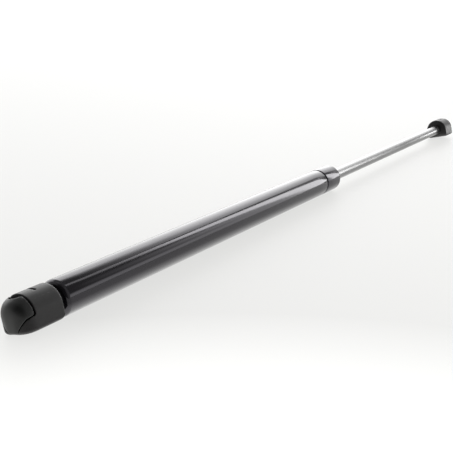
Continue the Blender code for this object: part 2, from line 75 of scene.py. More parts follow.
# ---- materials ----------------------------------------------------------------------------
class Shader:
    """A Principled material and the few node chains that the finishes here are made of."""

    def __init__(self, name, rough, metal=0.0, **constant):
        self.mat = bpy.data.materials.new(name)
        self.mat.use_nodes = True
        self.tree = self.mat.node_tree
        self.bsdf = self.tree.nodes["Principled BSDF"]
        self.bsdf.inputs["Roughness"].default_value = rough
        self.bsdf.inputs["Metallic"].default_value = metal
        for key, value in constant.items():
            self.bsdf.inputs[key.replace("_", " ")].default_value = value
        self.coords = self.tree.nodes.new("ShaderNodeTexCoord").outputs["Object"]

    def node(self, kind, **settings):
        made = self.tree.nodes.new(kind)
        for key, value in settings.items():
            setattr(made, key, value)
        return made

    def link(self, a, b):
        self.tree.links.new(a, b)

    def stretched(self, sx, sy, sz):
        """Object coordinates scaled along each axis, so a noise can run along one of them."""
        made = self.node("ShaderNodeMapping")
        made.inputs["Scale"].default_value = (sx, sy, sz)
        self.link(self.coords, made.inputs["Vector"])
        return made.outputs["Vector"]

    def noise(self, size_mm, detail=3.0, rough=0.55, coords=None, distortion=0.0):
        made = self.node("ShaderNodeTexNoise")
        made.inputs["Scale"].default_value = 1.0 / (size_mm * MM)
        made.inputs["Detail"].default_value = detail
        made.inputs["Roughness"].default_value = rough
        made.inputs["Distortion"].default_value = distortion
        self.link(coords or self.coords, made.inputs["Vector"])
        return made.outputs["Fac"]

    def spots(self, size_mm, coords=None):
        made = self.node("ShaderNodeTexVoronoi", feature="F1")
        made.inputs["Scale"].default_value = 1.0 / (size_mm * MM)
        self.link(coords or self.coords, made.inputs["Vector"])
        return made.outputs["Distance"]

    def rings(self, size_mm, detail=2.0):
        """Marks that run round the axis: a noise that changes only along U."""
        split = self.node("ShaderNodeSeparateXYZ")
        self.link(self.coords, split.inputs[0])
        made = self.node("ShaderNodeTexNoise", noise_dimensions="1D")
        made.inputs["Scale"].default_value = 1.0 / (size_mm * MM)
        made.inputs["Detail"].default_value = detail
        self.link(split.outputs["X"], made.inputs["W"])
        return made.outputs["Fac"]

    def remap(self, value, low, high, to_low, to_high):
        made = self.node("ShaderNodeMapRange")
        made.inputs["From Min"].default_value = low
        made.inputs["From Max"].default_value = high
        made.inputs["To Min"].default_value = to_low
        made.inputs["To Max"].default_value = to_high
        self.link(value, made.inputs["Value"])
        return made.outputs["Result"]

    def math(self, operation, a, b):
        made = self.node("ShaderNodeMath", operation=operation)
        for socket, value in zip(made.inputs, (a, b)):
            if isinstance(value, (int, float)):
                socket.default_value = value
            else:
                self.link(value, socket)
        return made.outputs[0]

    def mix(self, factor, a, b):
        """Colour a where the factor is 0, and b where it is 1."""
        made = self.node("ShaderNodeMix", data_type="RGBA")
        self.link(factor, made.inputs["Factor"])
        for socket, value in zip((made.inputs[6], made.inputs[7]), (a, b)):
            if isinstance(value, tuple):
                socket.default_value = (*value, 1.0)
            else:
                self.link(value, socket)
        return made.outputs[2]

    def edges(self, low, high):
        """1 on sharp outside edges and 0 elsewhere, from the mesh's own curvature: the mask for the painted edge
        highlights, and on the clip also for edge wear.
        """
        geometry = self.node("ShaderNodeNewGeometry")
        return self.remap(geometry.outputs["Pointiness"], low, high, 0.0, 1.0)

    def bump(self, height, strength, distance_mm, under=None):
        made = self.node("ShaderNodeBump")
        made.inputs["Strength"].default_value = strength
        made.inputs["Distance"].default_value = distance_mm * MM
        self.link(height, made.inputs["Height"])
        if under is not None:
            self.link(under, made.inputs["Normal"])
        return made.outputs["Normal"]

    def finish(self, color=None, rough=None, normal=None):
        for socket, value in (("Base Color", color), ("Roughness", rough), ("Normal", normal)):
            if value is not None:
                self.link(value, self.bsdf.inputs[socket])
        return self.mat


def gloss_black_paint():
    s = Shader("gloss_black_paint", 0.11, IOR=1.52, Specular_Tint=(0.955, 0.925, 1.0, 1.0), Sheen_Weight=0.08, Sheen_Roughness=0.3)
    cloud = s.noise(24.0, 2.0)
    fleck = s.remap(s.spots(1.7), 0.0, 0.035, 1.0, 0.0)
    tone = s.mix(cloud, (0.0050, 0.0044, 0.0060), (0.0072, 0.0062, 0.0080))
    color = s.mix(s.math("MULTIPLY", fleck, 0.25), tone, (0.05, 0.05, 0.05))
    smear = s.noise(5.0, 4.0, coords=s.stretched(0.16, 1.0, 1.0))
    rough = s.remap(smear, 0.3, 0.75, 0.09, 0.14)
    peel = s.bump(s.noise(1.3, 1.0), 0.06, 0.010)
    scuff = s.bump(s.noise(0.22, 2.0, coords=s.stretched(0.05, 1.0, 1.0)), 0.04, 0.005, peel)
    return s.finish(color, rough, scuff)


def ground_steel():
    s = Shader("ground_steel", 0.36, 1.0)
    grind = s.rings(0.16, 3.0)
    drawn = s.noise(0.35, 2.0, coords=s.stretched(0.012, 1.0, 1.0))
    haze = s.noise(9.0, 3.0, coords=s.stretched(0.3, 1.0, 1.0))
    color = s.mix(s.remap(haze, 0.3, 0.7, 0.0, 1.0), (0.210, 0.210, 0.210), (0.250, 0.250, 0.250))
    rough = s.math("ADD", s.remap(grind, 0.3, 0.7, 0.25, 0.32), s.remap(haze, 0.3, 0.7, -0.02, 0.03))
    fine = s.bump(grind, 0.10, 0.006)
    return s.finish(color, rough, s.bump(drawn, 0.05, 0.006, fine))


def moulded_nylon():
    s = Shader("moulded_nylon", 0.42, Specular_IOR_Level=0.31)
    flow = s.noise(4.5, 4.0, coords=s.stretched(0.45, 1.0, 1.0), distortion=0.6)
    grain = s.noise(0.17, 3.0, 0.7)
    tone = s.mix(flow, (0.0100, 0.0094, 0.0095), (0.0155, 0.0145, 0.0147))
    speck = s.remap(grain, 0.62, 0.78, 0.0, 0.35)
    color = s.mix(speck, tone, (0.034, 0.033, 0.032))
    # outside edges and fillets painted lighter: a painted highlight where the edges catch the side light
    color = s.mix(s.math("MULTIPLY", s.edges(0.57, 0.70), 0.40), color, (0.050, 0.048, 0.047))
    rough = s.math("ADD", s.remap(flow, 0.3, 0.7, 0.36, 0.46), s.remap(grain, 0.3, 0.7, -0.03, 0.05))
    skin = s.bump(grain, 0.16, 0.014)
    return s.finish(color, rough, s.bump(flow, 0.12, 0.03, skin))


def blackened_spring_steel():
    s = Shader("blackened_spring_steel", 0.36, 0.25)
    mottle = s.noise(2.6, 4.0, 0.6)
    grain = s.noise(0.12, 2.0)
    tone = s.mix(mottle, (0.0080, 0.0083, 0.0080), (0.0130, 0.0133, 0.0128))
    # edges painted lighter, patchy with the mottle: partly wear through the blackening, partly a painted highlight
    # along the edges
    worn_and_highlit_edges = s.math("MULTIPLY", s.edges(0.60, 0.74), s.remap(mottle, 0.35, 0.65, 0.1, 0.5))
    color = s.mix(worn_and_highlit_edges, tone, (0.13, 0.128, 0.122))
    rough = s.math("ADD", s.remap(mottle, 0.3, 0.7, 0.30, 0.42), s.remap(grain, 0.3, 0.7, -0.03, 0.04))
    skin = s.bump(grain, 0.10, 0.008)
    return s.finish(color, rough, s.bump(mottle, 0.08, 0.03, skin))


def turned_steel():
    s = Shader("turned_steel", 0.36, 1.0)
    cut = s.rings(0.11, 2.0)
    stain = s.noise(3.0, 4.0)
    color = s.mix(stain, (0.36, 0.36, 0.37), (0.47, 0.465, 0.455))
    rough = s.remap(s.math("ADD", cut, stain), 0.6, 1.4, 0.28, 0.44)
    return s.finish(color, rough, s.bump(cut, 0.25, 0.02))


def stamped_steel():
    s = Shader("stamped_steel", 0.32, 1.0)
    rolled = s.noise(0.3, 3.0, coords=s.stretched(1.0, 0.05, 1.0))
    stain = s.noise(2.2, 4.0)
    color = s.mix(stain, (0.42, 0.42, 0.41), (0.54, 0.535, 0.52))
    rough = s.remap(rolled, 0.3, 0.7, 0.24, 0.38)
    return s.finish(color, rough, s.bump(rolled, 0.15, 0.01))


def seal_rubber():
    s = Shader("seal_rubber", 0.62)
    bloom = s.noise(1.5, 4.0)
    grain = s.noise(0.1, 2.0)
    color = s.mix(bloom, (0.014, 0.014, 0.0145), (0.028, 0.028, 0.029))
    rough = s.remap(bloom, 0.3, 0.7, 0.52, 0.72)
    return s.finish(color, rough, s.bump(grain, 0.2, 0.012))


def guide_plastic():
    s = Shader("guide_plastic", 0.44)
    flow = s.noise(3.0, 3.0, distortion=0.8)
    grain = s.noise(0.14, 2.0)
    color = s.mix(flow, (0.66, 0.64, 0.55), (0.76, 0.74, 0.66))
    rough = s.remap(flow, 0.3, 0.7, 0.38, 0.52)
    return s.finish(color, rough, s.bump(grain, 0.12, 0.012))


def wiper_plastic():
    s = Shader("wiper_plastic", 0.55)
    flow = s.noise(1.6, 3.0)
    grain = s.noise(0.1, 2.0)
    color = s.mix(flow, (0.030, 0.030, 0.033), (0.055, 0.055, 0.060))
    rough = s.remap(flow, 0.3, 0.7, 0.48, 0.62)
    return s.finish(color, rough, s.bump(grain, 0.15, 0.010))


def cast_alloy():
    s = Shader("cast_alloy", 0.38, 1.0)
    cast = s.noise(0.5, 4.0, 0.65)
    cut = s.rings(0.14, 2.0)
    color = s.mix(cast, (0.47, 0.48, 0.50), (0.60, 0.61, 0.63))
    rough = s.remap(cast, 0.3, 0.7, 0.30, 0.48)
    return s.finish(color, rough, s.bump(cut, 0.15, 0.012, s.bump(cast, 0.2, 0.02)))


def ring_plastic():
    s = Shader("ring_plastic", 0.5)
    fleck = s.remap(s.spots(0.16), 0.1, 0.5, 1.0, 0.0)
    cloud = s.noise(1.5, 3.0)
    tone = s.mix(cloud, (0.22, 0.14, 0.08), (0.33, 0.22, 0.13))
    color = s.mix(s.math("MULTIPLY", fleck, 0.4), tone, (0.46, 0.34, 0.20))
    rough = s.remap(cloud, 0.3, 0.7, 0.42, 0.58)
    return s.finish(color, rough, s.bump(cloud, 0.1, 0.02))


def turned_brass():
    s = Shader("turned_brass", 0.3, 1.0)
    cut = s.rings(0.12, 2.0)
    tarnish = s.noise(1.8, 4.0)
    color = s.mix(tarnish, (0.56, 0.40, 0.16), (0.74, 0.56, 0.26))
    rough = s.remap(s.math("ADD", cut, tarnish), 0.6, 1.4, 0.22, 0.40)
    return s.finish(color, rough, s.bump(cut, 0.2, 0.015))


PAINT = gloss_black_paint()
ROD_STEEL = ground_steel()
NYLON = moulded_nylon()
CLIP_STEEL = blackened_spring_steel()
PLUG_STEEL = turned_steel()
WASHER_STEEL = stamped_steel()
RUBBER = seal_rubber()
GUIDE_PLASTIC = guide_plastic()
WIPER_PLASTIC = wiper_plastic()
ALLOY = cast_alloy()
RING_PLASTIC = ring_plastic()
BRASS = turned_brass()


# ---- turned pieces ------------------------------------------------------------------------
def soften(points, radius, closed, steps=4):
    """The profile with its corners rounded: a point may give its own radius as a third number."""
    out = []
    count = len(points)
    for i, point in enumerate(points):
        here = Vector(point[:2])
        r = point[2] if len(point) > 2 else radius
        if (not closed and i in (0, count - 1)) or r <= 0:
            out.append((here.x, here.y))
            continue
        before = Vector(points[i - 1][:2]) - here
        after = Vector(points[(i + 1) % count][:2]) - here
        if before.length < 1e-6 or after.length < 1e-6 or before.angle(after) > 3.1:
            out.append((here.x, here.y))
            continue
        reach = min(r / math.tan(before.angle(after) / 2), 0.45 * before.length, 0.45 * after.length)
        a, b = here + before.normalized() * reach, here + after.normalized() * reach
        for k in range(steps + 1):
            t = k / steps
            p = a * (1 - t) ** 2 + here * 2 * t * (1 - t) + b * t**2
            out.append((p.x, p.y))
    return out


def arc(cr, cu, radius, start, end, steps):
    out = []
    for i in range(steps + 1):
        a = math.radians(start + (end - start) * i / steps)
        out.append((cr + radius * math.cos(a), cu + radius * math.sin(a), 0.0))
    return out


def put(name, mesh, place, mat, body, node):
    """Makes a piece of a mesh: it stands for one node, rides on its body and gets the given finish in its one material
    slot.
    """
    mesh.transform(place)
    obj = bpy.data.objects.new(name, mesh)
    scene.collection.objects.link(obj)
    mesh.materials.clear()
    mesh.materials.append(mat)
    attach(obj, body)
    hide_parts(node)
    return obj


def turn_mesh(name, profile, segments, closed):
    """A surface of revolution round X from (radius, U) points in millimetres."""
    bm = bmesh.new()
    rings = []
    for r, u in profile:
        if r < 1e-6:
            rings.append([bm.verts.new((u * MM, 0, 0))])
            continue
        rings.append([
            bm.verts.new((u * MM, r * MM * math.cos(a), r * MM * math.sin(a)))
            for a in (2 * math.pi * k / segments for k in range(segments))
        ])
    pairs = list(zip(rings, rings[1:])) + ([(rings[-1], rings[0])] if closed else [])
    for first, second in pairs:
        for k in range(segments):
            n = (k + 1) % segments
            corner = [first[k % len(first)], first[n % len(first)], second[n % len(second)], second[k % len(second)]]
            face = []
            for v in corner:
                if v not in face:
                    face.append(v)
            if len(face) > 2:
                bm.faces.new(face)
    bmesh.ops.recalc_face_normals(bm, faces=bm.faces)
    mesh = bpy.data.meshes.new(name)
    bm.to_mesh(mesh)
    bm.free()
    mesh.shade_smooth()
    mesh.set_sharp_from_angle(angle=math.radians(40))
    return mesh


def turned(name, mat, body, node, points, segments=72, place=STRUT, radius=0.15, closed=True, steps=3):
    return put(name, turn_mesh(name, soften(points, radius, closed, steps), segments, closed), place, mat, body, node)


# pressure tube: rolled-in closed end, rolled bead behind the seal, rolled-in mouth
tube = [(5.2, TUBE_LIP, 0.25), (5.2, 0.0, 0.35)]
tube += arc(TUBE_R - FACET - TUBE_END_ROUND, TUBE_END_ROUND, TUBE_END_ROUND, -90, 0, 14)
for i in range(1, 24):
    u = 3.0 + (BEAD_U - BEAD_HALF - 1.0 - 3.0) * i / 24
    tube.append((TUBE_R - FACET, u, 0.0))
for i in range(25):
    x = -1.0 + 2.0 * i / 24
    tube.append((TUBE_R - FACET - BEAD_DEPTH * math.cos(math.pi / 2 * x) ** 2, BEAD_U + BEAD_HALF * x, 0.0))
tube += arc(TUBE_R - FACET - TUBE_MOUTH_ROUND, TUBE_LEN - TUBE_MOUTH_ROUND, TUBE_MOUTH_ROUND, 0, 90, 12)
tube += [(5.7, TUBE_LEN, 0.35), (5.7, TUBE_LEN - TUBE_LIP, 0.25), (7.1, TUBE_LEN - TUBE_LIP, 0.2)]
tube += [(TUBE_BORE_R, TUBE_LEN - TUBE_LIP - 0.5, 0.2), (TUBE_BORE_R, BEAD_U + BEAD_HALF, 0.3)]
tube += [(TUBE_BORE_R - 0.75, BEAD_U + 0.2 * BEAD_HALF, 0.2), (TUBE_BORE_R - 0.75, BEAD_U - 0.2 * BEAD_HALF, 0.2)]
tube += [(TUBE_BORE_R, BEAD_U - BEAD_HALF, 0.3), (TUBE_BORE_R, TUBE_LIP + 0.6, 0.2), (7.1, TUBE_LIP, 0.2)]
turned("pressure_tube_painted", PAINT, "tube", "pressure_tube", tube, 160)


def thread(start, end, step, r):
    """Crests and roots of a thread, as a profile from one U to another."""
    out = []
    u = start
    while (end - u) * step > abs(step) * abs(step) * 0.999:
        out += [(r, u, 0.08), (r - 0.5, u + step / 2, 0.08)]
        u += step
    return out + [(r, u, 0.08)]


plug_in = TUBE_LIP + RING_GAP
stud_tip = -SOCKET_GAP - STUD_LEN
plug = [(0.0, 12.0), (6.9, 12.0, 0.2), (7.5, 11.4, 0.2), (7.5, 7.9), (5.9, 7.9), (5.9, 5.9), (7.5, 5.9)]
plug += [(7.5, plug_in + 0.6), (6.8, plug_in), (4.8, plug_in), (4.8, -SOCKET_GAP + 0.7)]
plug += [(4.4, -SOCKET_GAP + RING_GAP), (STUD_R - 0.4, -SOCKET_GAP + RING_GAP), (STUD_R - 0.4, -SOCKET_GAP - 0.2)]
plug += thread(-SOCKET_GAP - 0.6, stud_tip + 0.6, -1.3, STUD_R)
plug += [(STUD_R, stud_tip + 0.6, 0.1), (STUD_R - 0.6, stud_tip, 0.1), (0.0, stud_tip)]
turned("end_plug_turned", PLUG_STEEL, "tube", "end_plug", plug, 80, closed=False)


def o_ring(name, node, at_u, major=6.85, minor=0.72):
    loop = [
        (major + minor * math.cos(a), at_u + minor * math.sin(a), 0.0)
        for a in (2 * math.pi * i / 20 for i in range(20))
    ]
    turned(name, RUBBER, "tube", node, loop, 80)


o_ring("end_plug_o_ring_moulded", "end_plug_o_ring", 6.9)
bead_face = BEAD_U + BEAD_HALF
turned("seal_support_ring_stamped", WASHER_STEEL, "tube", "seal_support_ring", [
    (4.3, bead_face + 0.3), (7.1, bead_face + 0.3), (7.5, bead_face + 0.7), (7.5, bead_face + 2.3), (4.3, bead_face + 2.3),
])
seal_u = bead_face + 2.6
turned("rod_seal_moulded", RUBBER, "tube", "rod_seal", [
    (4.18, seal_u), (4.7, seal_u), (5.5, seal_u + 1.9, 0.4), (6.3, seal_u + 1.9, 0.4), (7.0, seal_u), (7.5, seal_u),
    (7.5, seal_u + 5.0), (4.6, seal_u + 5.0), (4.18, seal_u + 4.2), (4.5, seal_u + 2.6, 0.4), (4.18, seal_u + 1.2),
], radius=0.2)
guide_u = seal_u + 5.3
guide_end = TUBE_LEN - TUBE_LIP - RING_GAP
ring_u = guide_u + 2.6
turned("rod_guide_moulded", GUIDE_PLASTIC, "tube", "rod_guide", [
    (4.18, guide_u), (7.5, guide_u), (7.5, ring_u - 1.0), (5.9, ring_u - 1.0), (5.9, ring_u + 1.0), (7.5, ring_u + 1.0),
    (7.5, guide_end - 0.8), (6.8, guide_end), (5.9, guide_end), (5.9, guide_end - 4.0), (4.18, guide_end - 4.0),
])
o_ring("guide_o_ring_moulded", "guide_o_ring", ring_u)
turned("wiper_ring_moulded", WIPER_PLASTIC, "tube", "wiper_ring", [
    (4.2, guide_end - 2.6), (5.0, guide_end - 3.7), (5.6, guide_end - 3.7), (5.6, guide_end - 0.1),
    (5.0, guide_end + 0.5), (4.2, guide_end + 1.2),
])

# rod with its riveted tail and threaded stud
piston_front = BEAD_U - BEAD_HALF - 0.6
piston_back = piston_front - 9.0
shoulder = piston_front + 1.8
tail = piston_back - 4.9
rod_tip = TUBE_LEN + ROD_OUT
stud_top = rod_tip + STUD_LEN
rod = [(0.0, tail), (2.6, tail, 0.5), (4.0, tail + 0.8, 0.3), (4.0, tail + 2.2), (SPIGOT_R, tail + 2.2), (SPIGOT_R, shoulder)]
rod += [(ROD_R - 0.3, shoulder), (ROD_R, shoulder + 0.3)]
rod += [(ROD_R, shoulder + 0.3 + (rod_tip - 0.9 - shoulder - 0.3) * i / 24, 0.0) for i in range(1, 24)]
rod += [(ROD_R, rod_tip - 0.9, 0.3), (ROD_R - 0.6, rod_tip - RING_GAP), (STUD_R - 0.4, rod_tip - RING_GAP), (STUD_R - 0.4, rod_tip + 0.2)]
rod += thread(rod_tip + 0.6, stud_top - 0.6, 1.3, STUD_R)
rod += [(STUD_R, stud_top - 0.6, 0.1), (STUD_R - 0.6, stud_top, 0.1), (0.0, stud_top)]
turned("piston_rod_ground", ROD_STEEL, "rod", "piston_rod", rod, 128, closed=False)

groove = (piston_front + piston_back) / 2
turned("piston_ring_moulded", RING_PLASTIC, "sliding_ring", "piston_ring", [
    (6.2, groove - 1.2), (7.64, groove - 1.2), (7.64, groove + 1.2), (6.2, groove + 1.2),
])
turned("piston_front_washer_stamped", WASHER_STEEL, "rod", "piston_front_washer", [
    (2.8, piston_front + 0.3), (5.6, piston_front + 0.3), (6.0, piston_front + 0.7), (6.0, piston_front + 1.5), (2.8, piston_front + 1.5),
])
turned("valve_disc_stamped", WASHER_STEEL, "rod", "valve_disc", [
    (2.8, piston_back - 0.9), (6.2, piston_back - 0.9), (6.2, piston_back - 0.3), (2.8, piston_back - 0.3),
], radius=0.1)
turned("piston_back_washer_stamped", WASHER_STEEL, "rod", "piston_back_washer", [
    (2.8, piston_back - 2.4), (5.0, piston_back - 2.4), (5.3, piston_back - 2.1), (5.3, piston_back - 1.2), (2.8, piston_back - 1.2),
])


# ---- moulded pieces, as the zero surface of a distance field ------------------------------
def inset_head(tip, inset, flat, edge):
    """Distance to the socket's outer form: round top, upright sides, flat underside, blunt nose."""
    half_w, top, tip = SOCKET_HALF_W - inset - FACET, SOCKET_TOP - inset - FACET, tip - TIP_FACET

    def raw(v, y, z):
        across = np.sqrt((y / half_w) ** 2 + (np.maximum(z, 0.0) / top) ** 2)
        ahead = np.maximum((v - NOSE_START) / (tip - NOSE_START), 0.0)
        return (across**NOSE_POWER + ahead**NOSE_POWER) ** (1.0 / NOSE_POWER) - 1.0

    def distance(v, y, z):
        h = 0.01
        slope = np.sqrt(
            (raw(v + h, y, z) - raw(v - h, y, z)) ** 2
            + (raw(v, y + h, z) - raw(v, y - h, z)) ** 2
            + (raw(v, y, z + h) - raw(v, y, z - h)) ** 2
        ) / (2 * h)
        return meet(raw(v, y, z) / np.maximum(slope, 0.05), flat - z, edge)

    return distance


def meet(a, b, r):
    """Where both are, with a rounded edge."""
    return np.minimum(np.maximum(a, b), -r) + np.hypot(np.maximum(a + r, 0), np.maximum(b + r, 0))


def join(a, b, r):
    """Where either is, with a fillet between them."""
    return np.maximum(np.minimum(a, b), r) - np.hypot(np.maximum(r - a, 0), np.maximum(r - b, 0))


def block(p, low, high, r):
    """Distance to a box with rounded edges."""
    d = [np.abs(x - (a + b) / 2) - ((b - a) / 2 - r) for x, a, b in zip(p, low, high)]
    outside = np.sqrt(sum(np.maximum(x, 0) ** 2 for x in d))
    return outside + np.minimum(np.maximum(np.maximum(d[0], d[1]), d[2]), 0) - r


def under_shield(y, z, grow):
    """Distance to what lies under the clip's two slanting lower edges."""
    a = (SHIELD_TIP_HALF + grow, CLIP_BOTTOM)
    b = (SHIELD_SHOULDER_Y + grow, SHIELD_SHOULDER_Z - 0.5 * grow)
    along = math.hypot(b[0] - a[0], b[1] - a[1])
    ny, nz = (b[1] - a[1]) / along, -(b[0] - a[0]) / along
    return meet(-((np.abs(y) - a[0]) * ny + (z - a[1]) * nz), z - b[1], 1.0)


def pry_oval(v, y, z, back, bottom, grow):
    """Distance to the half oval that opens to the back of the clip's top edge."""
    oval = np.hypot(np.maximum(v - CLIP_BACK, 0.0) / (PRY_V + grow), y / (PRY_Y + grow)) - 1.0
    return np.maximum(np.maximum(oval * (PRY_V + grow), back - v), bottom - z)


ARM_Z, ARM_Y, LIP_Z = (-0.9, 1.7), (6.7, 8.0), (-5.5, -4.4)
outer_form = inset_head(SOCKET_LEN, 0.0, SOCKET_FLAT + FACET, SOCKET_EDGE_R)
pocket_core = inset_head(SOCKET_LEN - CLIP_T - CLIP_GAP, CLIP_T + CLIP_GAP, -14.0, 1.0)
clip_form = inset_head(SOCKET_LEN, 0.0, CLIP_BOTTOM, CLIP_EDGE_R)
clip_hollow = inset_head(SOCKET_LEN - CLIP_T, CLIP_T, -14.0, 1.0)


def socket_field(v, y, z):
    p = (v, y, z)
    body = meet(outer_form(v, y, z), -v, 1.4)
    body = meet(body, (1.6 - v + SOCKET_FLAT - z) / math.sqrt(2.0), 1.2)
    outline = meet((CLIP_BACK - CLIP_BACK_GAP) - v, -under_shield(y, z, CLIP_GAP), CLIP_CORNER_R)
    pocket = np.maximum(outline, -pocket_core(v, y, z))
    body = meet(body, -pocket, 0.18)
    across = np.hypot(v - BALL_V, y)
    cavity = np.sqrt(across**2 + z**2) - BALL_CAVITY_R
    cavity = np.minimum(cavity, np.maximum(across - MOUTH_R, z + 0.8))
    slope = (7.0 - 4.6) / (8.3 - 5.9)
    flare = (across - (4.6 + (-5.9 - z) * slope)) / math.hypot(1.0, slope)
    cavity = np.minimum(cavity, np.maximum(flare, z + 5.9))
    body = meet(body, -cavity, 0.3)
    radial = np.hypot(y, z)
    bore = np.minimum(np.maximum(radial - 3.2, v - 6.7), np.maximum(np.maximum(radial - 5.1, v - 6.4), 0.8 - v))
    body = meet(body, -bore, 0.15)
    body = meet(body, -block(p, (16.0, -2.9, LIP_Z[0] - 0.4), (27.0, 2.9, LIP_Z[1] + 0.4), 0.2), 0.15)
    mirrored = (v, np.abs(y), z)
    body = meet(body, -block(mirrored, (13.2, ARM_Y[0] - 0.35, ARM_Z[0] - 0.35), (20.4, ARM_Y[1] + 0.35, ARM_Z[1] + 0.35), 0.2), 0.12)
    body = meet(body, -block(p, (8.3, -3.4, 7.2), (9.5, 3.4, 12.0), 0.25), 0.18)
    return meet(body, -pry_oval(v, y, z, CLIP_BACK - CLIP_BACK_GAP, 5.3, 0.15), 0.18)


def clip_field(v, y, z):
    p = (v, y, z)
    outline = meet(CLIP_BACK - v, -under_shield(y, z, 0.0), CLIP_CORNER_R)
    outline = meet(outline, -pry_oval(v, y, z, CLIP_BACK - 3.0, 4.0, 0.0), 0.9)
    shell = meet(meet(clip_form(v, y, z), outline, 0.3), -clip_hollow(v, y, z), 0.25)
    shell = join(shell, block(p, (16.5, -2.4, LIP_Z[0]), (SOCKET_LEN - 0.5, 2.4, LIP_Z[1]), 0.25), 0.3)
    mirrored = (v, np.abs(y), z)
    return join(shell, block(mirrored, (13.6, ARM_Y[0], ARM_Z[0]), (19.4, ARM_Y[1], ARM_Z[1]), 0.25), 0.25)


def surface(field, low, high, step):
    """A closed quad mesh on a field's zero surface: one point in every cell that the surface crosses, drawn onto it."""
    axes = [np.arange(a, b + step, step) for a, b in zip(low, high)]
    grid = np.meshgrid(*axes, indexing="ij")
    f = field(*grid)
    inside = f < 0
    shape = tuple(n - 1 for n in f.shape)
    total = np.zeros(shape + (3,))
    hits = np.zeros(shape)
    corners = [(i, j, k) for i in (0, 1) for j in (0, 1) for k in (0, 1)]

    def at(array, c):
        return array[c[0] : c[0] + shape[0], c[1] : c[1] + shape[1], c[2] : c[2] + shape[2]]

    for a in corners:
        for axis in range(3):
            if a[axis]:
                continue
            b = tuple(x + (n == axis) for n, x in enumerate(a))
            crossed = at(inside, a) != at(inside, b)
            fa, fb = at(f, a), at(f, b)
            share = np.where(crossed, fa / np.where(crossed, fa - fb, 1.0), 0.0)
            for n in range(3):
                total[..., n] += np.where(crossed, a[n] + (share if n == axis else 0.0), 0.0)
            hits += crossed
    used = hits > 0
    number = np.full(shape, -1)
    number[used] = np.arange(used.sum())
    where = np.argwhere(used)
    points = np.array(low) + (where + total[used] / hits[used][:, None]) * step
    faces = []
    for axis in range(3):
        p, q = [n for n in range(3) if n != axis]
        near = [slice(1, -1)] * 3
        near[axis] = slice(0, -1)
        far = list(near)
        far[axis] = slice(1, None)
        changes = np.argwhere(inside[tuple(near)] != inside[tuple(far)])
        changes[:, p] += 1
        changes[:, q] += 1
        outward = inside[tuple(changes.T)]
        cells = []
        for dp, dq in ((-1, -1), (0, -1), (0, 0), (-1, 0)):
            c = changes.copy()
            c[:, p] += dp
            c[:, q] += dq
            cells.append(number[tuple(c.T)])
        quad = np.stack(cells, 1)
        flip = outward if axis == 1 else ~outward
        quad[flip] = quad[flip][:, ::-1]
        faces.append(quad)
    faces = np.concatenate(faces)

    def settle(points, rounds):
        h = 0.004
        for _ in range(rounds):
            x, y, z = points.T
            value = field(x, y, z)
            slope = np.stack([
                field(x + h, y, z) - field(x - h, y, z),
                field(x, y + h, z) - field(x, y - h, z),
                field(x, y, z + h) - field(x, y, z - h),
            ], 1) / (2 * h)
            size = np.maximum((slope**2).sum(1), 0.25)
            move = slope * (value / size)[:, None]
            length = np.linalg.norm(move, axis=1)
            move *= np.minimum(1.0, 0.35 * step / np.maximum(length, 1e-9))[:, None]
            points = points - move
        return points

    points = settle(points, 4)
    for _ in range(3):
        near = np.zeros_like(points)
        count = np.zeros(len(points))
        for a in range(4):
            for b in ((a + 1) % 4, (a + 3) % 4):
                np.add.at(near, faces[:, a], points[faces[:, b]])
                np.add.at(count, faces[:, a], 1)
        points = settle(points + 0.5 * (near / count[:, None] - points), 3)
    return points, faces


def moulded_mesh(name, field, low, high, step, keep):
    points, faces = surface(field, low, high, step)
    mesh = bpy.data.meshes.new(name)
    mesh.from_pydata((points * MM).tolist(), [], faces.tolist())
    mesh.validate()
    bm = bmesh.new()
    bm.from_mesh(mesh)
    bmesh.ops.recalc_face_normals(bm, faces=bm.faces)
    bm.to_mesh(mesh)
    bm.free()
    holder = bpy.data.objects.new(name + "_dense", mesh)
    scene.collection.objects.link(holder)
    thin = holder.modifiers.new("Thin", "DECIMATE")
    thin.ratio = keep
    light = bpy.data.meshes.new_from_object(holder.evaluated_get(bpy.context.evaluated_depsgraph_get()))
    bpy.data.objects.remove(holder)
    # an edge where the surface meets itself is drawn together to a point
    bm = bmesh.new()
    bm.from_mesh(light)
    for _ in range(12):
        shared = [e for e in bm.edges if len(e.link_faces) != 2]
        if not shared:
            break
        bmesh.ops.collapse(bm, edges=shared)
        bm.verts.index_update()
        seen = set()
        twice = []
        for face in bm.faces:
            key = frozenset(v.index for v in face.verts)
            if key in seen:
                twice.append(face)
            seen.add(key)
        bmesh.ops.delete(bm, geom=twice, context="FACES_ONLY")
    bm.to_mesh(light)
    bm.free()
    light.name = name
    light.shade_smooth()
    return light


socket_mesh = moulded_mesh("socket_moulding", socket_field, (-0.9, -9.9, -8.2), (24.1, 9.9, 9.7), 0.25, 0.6)
clip_mesh = moulded_mesh("clip_pressing", clip_field, (13.0, -9.8, -7.8), (24.0, 9.8, 9.6), 0.22, 0.45)

insert = [(3.15, 1.1, 0.1)]
u = 1.1
while u < 5.2:
    insert += [(4.8, u, 0.12), (4.45, u + 0.7, 0.1), (4.8, u + 1.4, 0.12)]
    u += 1.6
insert += [(3.15, insert[-1][1], 0.1)]

for side, place, body, clip_body in (("tube", TUBE_SOCKET, "tube", "tube_clip"), ("rod", ROD_SOCKET, "rod", "rod_clip")):
    put(f"{side}_socket_moulded", socket_mesh.copy(), place, NYLON, body, f"{side}_socket")
    put(f"{side}_socket_clip_pressed", clip_mesh.copy(), place, CLIP_STEEL, clip_body, f"{side}_socket_clip")
    turned(f"{side}_socket_insert_turned", BRASS, body, f"{side}_socket_insert", insert, 64, place)
bpy.data.meshes.remove(socket_mesh)
bpy.data.meshes.remove(clip_mesh)

# the piston keeps its shape with its two drilled orifices, and gets a cast finish
piston = frame["nodes"]["piston"]
piston.data.materials.clear()
piston.data.materials.append(ALLOY)

